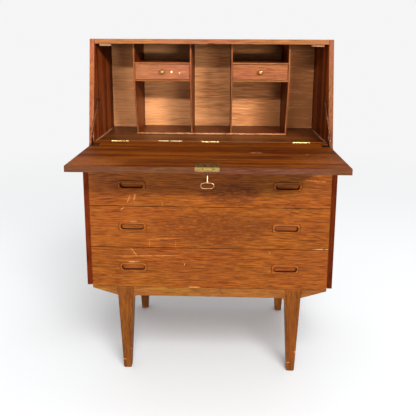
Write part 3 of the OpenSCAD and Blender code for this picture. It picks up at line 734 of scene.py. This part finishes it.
# A pull, from its back edge round to the bottom of its pocket: half width, half height, lift, top corner,
# bottom corner, the surface that the depth starts from, depth, material
PULL_RINGS = (
    (0.0434, 0.0140, 0.0, 0.0085, 0.0050, "front", 0.0165, LIP),
    (0.0434, 0.0140, 0.0, 0.0085, 0.0050, "front", 0.0012, LIP),
    (0.0432, 0.0138, 0.0, 0.0085, 0.0050, "face", 0.0004, LIP),
    (0.0425, 0.0131, 0.0, 0.0080, 0.0045, "face", 0.0, LIP),
    (0.0392, 0.0112, -0.0006, 0.0070, 0.0082, "face", 0.0, LIP),
    (0.0384, 0.0104, -0.0008, 0.0066, 0.0084, "face", 0.0002, LIP),
    (0.0377, 0.0097, -0.0008, 0.0062, 0.0086, "face", 0.0010, LIP),
    (0.0374, 0.0094, -0.0008, 0.0060, 0.0086, "front", 0.0030, WALL),
    (0.0370, 0.0092, -0.0010, 0.0058, 0.0084, "back", -0.0010, WALL),
    (0.0362, 0.0084, -0.0010, 0.0052, 0.0078, "back", -0.0002, WALL),
    (0.0340, 0.0066, -0.0010, 0.0040, 0.0060, "back", 0.0, BACK),
)


def pull_face(height):
    """How far the face stands from the drawer front: proud at the upper lip, sloping back below it."""
    knots = [(-0.0145, -0.0006), (0.0055, -0.0023), (0.0105, -0.0023), (0.0145, -0.0010)]
    for (z0, d0), (z1, d1) in zip(knots, knots[1:]):
        if height <= z1:
            return d0 + (d1 - d0) * max(0.0, (height - z0) / (z1 - z0))
    return knots[-1][1]


def pull_depth(surface, height):
    """The pocket's back is deeper at its bottom than under the lip."""
    if surface == "face":
        return pull_face(height)
    return 0.0078 - 0.16 * height if surface == "back" else 0.0


def rounded_ring(half_w, half_h, top_r, bottom_r, steps=7, along=10):
    """Points round a rectangle, with one corner radius at the top and another at the bottom."""
    quarter = math.pi / 2
    corners = ((1, 1, top_r), (-1, 1, top_r), (-1, -1, bottom_r), (1, -1, bottom_r))

    def on_corner(index, angle):
        sx, sz, radius = corners[index % 4]
        return (sx * (half_w - radius) + radius * math.cos(angle),
                sz * (half_h - radius) + radius * math.sin(angle))

    points = []
    for index in range(4):
        points += [on_corner(index, quarter * (index + k / steps)) for k in range(steps + 1)]
        x, z = points[-1]
        next_x, next_z = on_corner(index + 1, quarter * (index + 1))
        points += [(x + (next_x - x) * k / along, z + (next_z - z) * k / along) for k in range(1, along)]
    return points


def pull_mesh(bm, centre_x, centre_z):
    rings = []
    for half_w, half_h, lift, top_r, bottom_r, surface, depth, _ in PULL_RINGS:
        ring = []
        for x, z in rounded_ring(half_w, half_h, top_r, bottom_r):
            z += lift
            y = CASE_FRONT + pull_depth(surface, z) + depth
            ring.append(bm.verts.new((centre_x + x, y, centre_z + z)))
        rings.append(ring)
    for a, b, row in zip(rings, rings[1:], PULL_RINGS[1:]):
        bridge(bm, a, b, row[-1])
    bm.faces.new(rings[0])
    bm.faces.new(rings[-1]).material_index = BACK


def streak(x0, z0, x1, z1, width, tint, strength):
    """A thin mark between two points of the drawer fronts."""
    turn = math.atan2(z0 - z1, x1 - x0)
    half = math.hypot(x1 - x0, z1 - z0) / 2
    return ((x0 + x1) / 2, CASE_FRONT, (z0 + z1) / 2), (half * 1.25, 0.02, width), tint, strength, turn


# Marks on the three drawer fronts: x and height of both ends, half width, colour and strength.
# The last mark of each front darkens its middle; on drawer 1 it is painted shadow of the lock and key.
FRONT_MARKS = {
    1: (
        streak(-0.252, 0.612, -0.262, 0.588, 0.0020, SCRATCH, 0.32),
        streak(-0.236, 0.618, -0.240, 0.594, 0.0040, SCRATCH, 0.25),
        streak(-0.100, 0.600, -0.020, 0.598, 0.0020, WORN, 0.3),
        streak(0.300, 0.668, 0.370, 0.664, 0.0030, WORN, 0.4),
        streak(-0.150, 0.594, -0.148, 0.580, 0.0018, SCRATCH, 0.3),
        # painted shadow of the lock and key
        streak(-0.020, 0.620, 0.160, 0.620, 0.0480, rgb(62, 24, 6), 0.55),
    ),
    2: (
        streak(-0.272, 0.574, -0.283, 0.563, 0.0024, SCRATCH, 0.4),
        streak(-0.192, 0.465, -0.081, 0.472, 0.0020, WORN, 0.5),
        streak(-0.193, 0.464, -0.193, 0.440, 0.0014, WORN, 0.3),
        streak(-0.108, 0.464, -0.108, 0.440, 0.0014, WORN, 0.25),
        streak(-0.255, 0.524, -0.232, 0.525, 0.0026, SCRATCH, 0.3),
        streak(-0.155, 0.462, -0.100, 0.459, 0.0030, DARK, 0.45),
        streak(0.322, 0.488, 0.355, 0.480, 0.0024, DARK, 0.7),
        streak(0.345, 0.479, 0.380, 0.467, 0.0026, DARK, 0.7),
        streak(0.300, 0.470, 0.340, 0.464, 0.0020, DARK, 0.5),
        streak(-0.032, 0.536, 0.012, 0.535, 0.0016, DARK, 0.6),
        streak(-0.032, 0.532, 0.012, 0.529, 0.0016, DARK, 0.5),
        streak(0.030, 0.530, 0.060, 0.533, 0.0018, DARK, 0.55),
        streak(-0.384, 0.476, -0.342, 0.485, 0.0020, DARK, 0.6),
        streak(-0.345, 0.485, -0.315, 0.502, 0.0018, DARK, 0.5),
        streak(0.335, 0.439, 0.384, 0.439, 0.0022, SCRATCH, 0.6),
        streak(-0.160, 0.505, 0.200, 0.505, 0.0700, rgb(82, 34, 8), 0.62),
    ),
    3: (
        streak(-0.252, 0.433, -0.232, 0.403, 0.0017, SCRATCH, 0.45),
        streak(-0.080, 0.384, -0.080, 0.376, 0.0018, SCRATCH, 0.5),
        streak(0.195, 0.428, 0.196, 0.419, 0.0018, SCRATCH, 0.5),
        streak(-0.075, 0.300, -0.029, 0.301, 0.0018, SCRATCH, 0.6),
        streak(-0.262, 0.386, -0.226, 0.387, 0.0030, SCRATCH, 0.45),
        streak(-0.300, 0.406, -0.090, 0.411, 0.0020, WORN, 0.4),
        streak(-0.100, 0.360, 0.140, 0.360, 0.0480, rgb(88, 40, 8), 0.30),
    ),
}

# How far the fronts' edges are rounded: the seams look thinner towards the bottom of the desk
FRONT_EDGES = {1: 0.0026, 2: 0.0017, 3: 0.0012}


def pull_gap_shades(i):
    """Dark lines on the front up the ends of the pulls: painted shade of the gaps there."""
    low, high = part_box(f"drawer_{i}_pulls")
    lines = []
    for side in (-1, 1):
        for x in (high.x + 0.0008, high.x - 2 * PULL_HALF - 0.0008):
            lines.append(streak(side * x, low.z + 0.002, side * x, high.z - 0.002, 0.0014, DARK, 0.75))
    return lines


def dress_front(i, seam):
    """The drawer's front; its rounded upper and lower edges are dark with painted shade of the seams."""
    node = f"drawer_{i}_front"
    low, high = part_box(node)
    edge = FRONT_EDGES[i]
    marks = list(FRONT_MARKS[i]) + pull_gap_shades(i)
    board = wood(f"front_{i}", "X", FRONT, 30 + i, contrast=0.62, figure=0.9, fine=1.35, marks=marks)
    piece = dress(copy_of(node, edge, 3), node, board, seam)
    edge_faces(piece, lambda p: p.center.z < low.z + edge and p.normal.z < -0.05)
    edge_faces(piece, lambda p: p.center.z > high.z - edge and p.normal.z > 0.05)


def dress_pulls(i):
    node = f"drawer_{i}_pulls"
    low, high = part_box(node)
    middle = (low.z + high.z) / 2
    centre = high.x - PULL_HALF
    bm = bmesh.new()
    lip_shadows = []
    for side in (-1, 1):
        x = side * centre
        pull_mesh(bm, x, middle)
        # painted shadow of the lip, along the top of the pocket's back
        lip_shadows.append(streak(x - 0.034, middle + 0.0062, x + 0.034, middle + 0.0062, 0.0026, DARK, 0.9))
    lip = wood(f"pull_{i}", "X", scaled(FRONT, 1.25), 40 + i, contrast=0.8, figure=0.4)
    # the pocket's walls, near black: painted shade in the recess, and dirt in its crevice
    shaded_wall = wood(f"pocket_wall_{i}", "X", scaled(FRONT, 0.10), 44 + i, contrast=0.6, figure=0.4, wear=0.2)
    # the pocket's back, paler and bluer than the front: painted light
    back = wood(f"pocket_back_{i}", "X", toned(FRONT, 1.1, 1.05, 1.5), 47 + i, contrast=0.6, figure=0.4,
                wear=0.2, marks=lip_shadows)
    piece = made(node + "_look", bm, BODY_OF[node], SLOT_OF[node], lip, shaded_wall, back)
    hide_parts(node)


def dress_drawers(lining):
    # painted seam shade, for the fronts' rounded upper and lower edges
    seam = wood("painted_seam_shade", "X", SEAM_SHADE, 90, contrast=0.5, figure=0.3, wear=0.1, specular=0.02)
    for i in (1, 2, 3):
        dress_front(i, seam)
        soften(f"drawer_{i}_box", lining)
        soften(f"drawer_{i}_bottom", lining, 0.0004)
        dress_pulls(i)


def dress_small_drawers(lining):
    """The left front is pinker and has two chips beside its knob; the right front's darker colour is painted
    shade.
    """
    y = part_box("small_left_front")[0].y
    chips = [((-0.1355, y, 0.9915), (0.0045, 0.01, 0.0055), CHIP, 0.85),
             ((-0.1085, y, 0.9880), (0.0030, 0.01, 0.0045), CHIP, 0.6)]
    knob = metal("polished_brass", rgb(244, 206, 120), rgb(190, 144, 70), rough=0.18, patina=0.2)
    # the right front is a darker copy of PINK: painted shade
    fronts = (("left", PINK, chips), ("right", toned(PINK, 0.88, 0.78, 0.70), ()))
    for seed, (side, tone, marks) in enumerate(fronts):
        front = wood(f"small_front_{side}", "X", tone, 50 + seed, contrast=0.35, figure=0.2, fine=0.9,
                     marks=marks)
        soften(f"small_{side}_front", front)
        soften(f"small_{side}_box", lining, 0.0006)
        soften(f"small_{side}_knob", knob, 0.0006)


# ---------------------------------------------------------------- base


def dress_base():
    for seed, node in enumerate(n for n in BODIES["case"] if n.startswith("leg_")):
        low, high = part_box(node)
        right = low.x > 0
        knock = 0.7 if right else 0.2
        scuffs = [((low.x + 0.012, low.y, 0.032), (0.016, 0.02, 0.0016), SCRATCH, 0.6),
                  ((high.x - 0.014, low.y, 0.072), (0.003, 0.02, 0.003), SCRATCH, knock)]
        # the right legs are a paler copy of LEG and the left a darker one: painted light and shade
        tone = toned(LEG, 1.12, 1.12, 0.8) if right else toned(LEG, 0.94, 0.92, 0.8)
        leg = wood(node + "_wood", "Z", tone, 60 + seed, figure=0.6, wear=0.9, marks=scuffs)
        soften(node, leg, 0.004, 4)
    for seed, node in enumerate(("rail_front", "rail_rear", "base_wings")):
        soften(node, wood(node + "_wood", "X", RAIL, 70 + seed), 0.0015)
    for seed, node in enumerate(("rail_left", "rail_right")):
        soften(node, wood(node + "_wood", "Y", RAIL, 75 + seed), 0.0015)


# ---------------------------------------------------------------- key, hinges and stays


def tube(bm, centres, radius, material, sides=14):
    """A closed round wire through points that lie in a plane of constant depth."""
    rings = []
    for i, centre in enumerate(centres):
        along = (centres[(i + 1) % len(centres)] - centres[i - 1]).normalized()
        across = Vector((0, 1, 0)).cross(along) * radius
        deep = Vector((0, radius, 0))
        angles = [2 * math.pi * k / sides for k in range(sides)]
        rings.append([bm.verts.new(centre + across * math.cos(a) + deep * math.sin(a)) for a in angles])
    for a, b in zip(rings, rings[1:] + rings[:1]):
        bridge(bm, a, b, material)


def turned(bm, x, y, profile, material, sides=28):
    """A turned solid on an upright axis, from (radius, height) pairs."""
    angles = [2 * math.pi * k / sides for k in range(sides)]
    rings = []
    for r, z in profile:
        rings.append([bm.verts.new((x + r * math.cos(a), y + r * math.sin(a), z)) for a in angles])
    for a, b in zip(rings, rings[1:]):
        bridge(bm, a, b, material)
    for ring in (rings[0], rings[-1]):
        bm.faces.new(ring).material_index = material


def bow_points(half_w, half_h, y, middle, count=64, squareness=0.72):
    """Points round a flattened oval."""
    points = []
    for k in range(count):
        c, s = math.cos(2 * math.pi * k / count), math.sin(2 * math.pi * k / count)
        x = math.copysign(abs(c) ** squareness, c) * half_w
        z = math.copysign(abs(s) ** squareness, s) * half_h
        points.append(Vector((x, y, middle + z)))
    return points


def add_key():
    """A bow bent from round wire, a shank with a collar, and a bit that works the bolt."""
    low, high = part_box("key")
    y = low.y + 0.0035
    bow_h, wire, shank, collar = 0.019, 0.0014, 0.0020, 0.0030
    foot = low.z + bow_h - 2 * wire
    bm = bmesh.new()
    tube(bm, bow_points(high.x - wire, bow_h / 2 - wire, y, low.z + bow_h / 2), wire, 0)
    turned(bm, 0.0, y, [(0.0010, foot), (shank, foot + 0.0012), (shank, foot + 0.0040),
                        (collar, foot + 0.0046), (collar, foot + 0.0064), (shank, foot + 0.0070),
                        (shank, high.z - 0.0006), (shank - 0.0006, high.z)], 1)
    bit = Vector((0.0078, 0.0020, 0.0050))
    for vert in bmesh.ops.create_cube(bm, size=1.0)["verts"]:
        vert.co = Vector((0.0040, y, high.z - 0.0032)) + vert.co * bit
    bow = metal("key_brass", rgb(206, 162, 128), rgb(150, 102, 76), rough=0.40, patina=0.5)
    pale = metal("pale_brass", rgb(238, 216, 160), rgb(206, 170, 112), rough=0.42, patina=0.3)
    piece = made("key_look", bm, BODY_OF["key"], SLOT_OF["key"], bow, pale)
    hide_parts("key")


def dress_metal():
    leaf = metal("hinge_brass", rgb(236, 212, 150), rgb(150, 112, 60), rough=0.38, patina=0.62, seed=0.5)
    dark = metal("dark_brass", rgb(128, 92, 54), rgb(66, 44, 28), rough=0.38, patina=0.7)
    bronze = metal("bronze", rgb(156, 110, 76), rgb(78, 50, 34), rough=0.44, patina=0.5)
    iron = black_iron("iron")
    for node in ("hinge_leaves_fixed", "hinge_leaves_moving", "hinge_pins"):
        soften(node, leaf, 0.0003)
    for node in ("hinge_screws_fixed", "hinge_screws_moving"):
        soften(node, dark, 0.0003)
    soften("strike_plate", dark, 0.0002)
    add_key()
    for node in ("stay_studs", "stay_brackets", "slider_left", "slider_right"):
        soften(node, iron, 0.0003)
    for node in ("stay_bar_left", "stay_bar_right"):
        soften(node, bronze, 0.0003)


# ---------------------------------------------------------------- the scene


bpy.context.scene.view_settings.view_transform = "Standard"
make_camera()
make_world()
make_lamps(make_floor())

edge_x = wood("edge_X", "X", EDGE, 5, contrast=0.6, figure=0.5, specular=0.18)
edge_z = wood("edge_Z", "Z", EDGE, 5, contrast=0.6, figure=0.5, specular=0.18)
lining = wood("lining", "Y", BEECH, 30, contrast=0.45, figure=0.5, rough=0.6, gilt=0.2)

dress_sides()
dress_top(edge_x)
dress_desk_floor()
dress_inside()
add_seam_chips()
dress_pigeonholes(edge_z)
dress_flap()
dress_lock()
dress_drawers(lining)
dress_small_drawers(lining)
dress_base()
dress_metal()
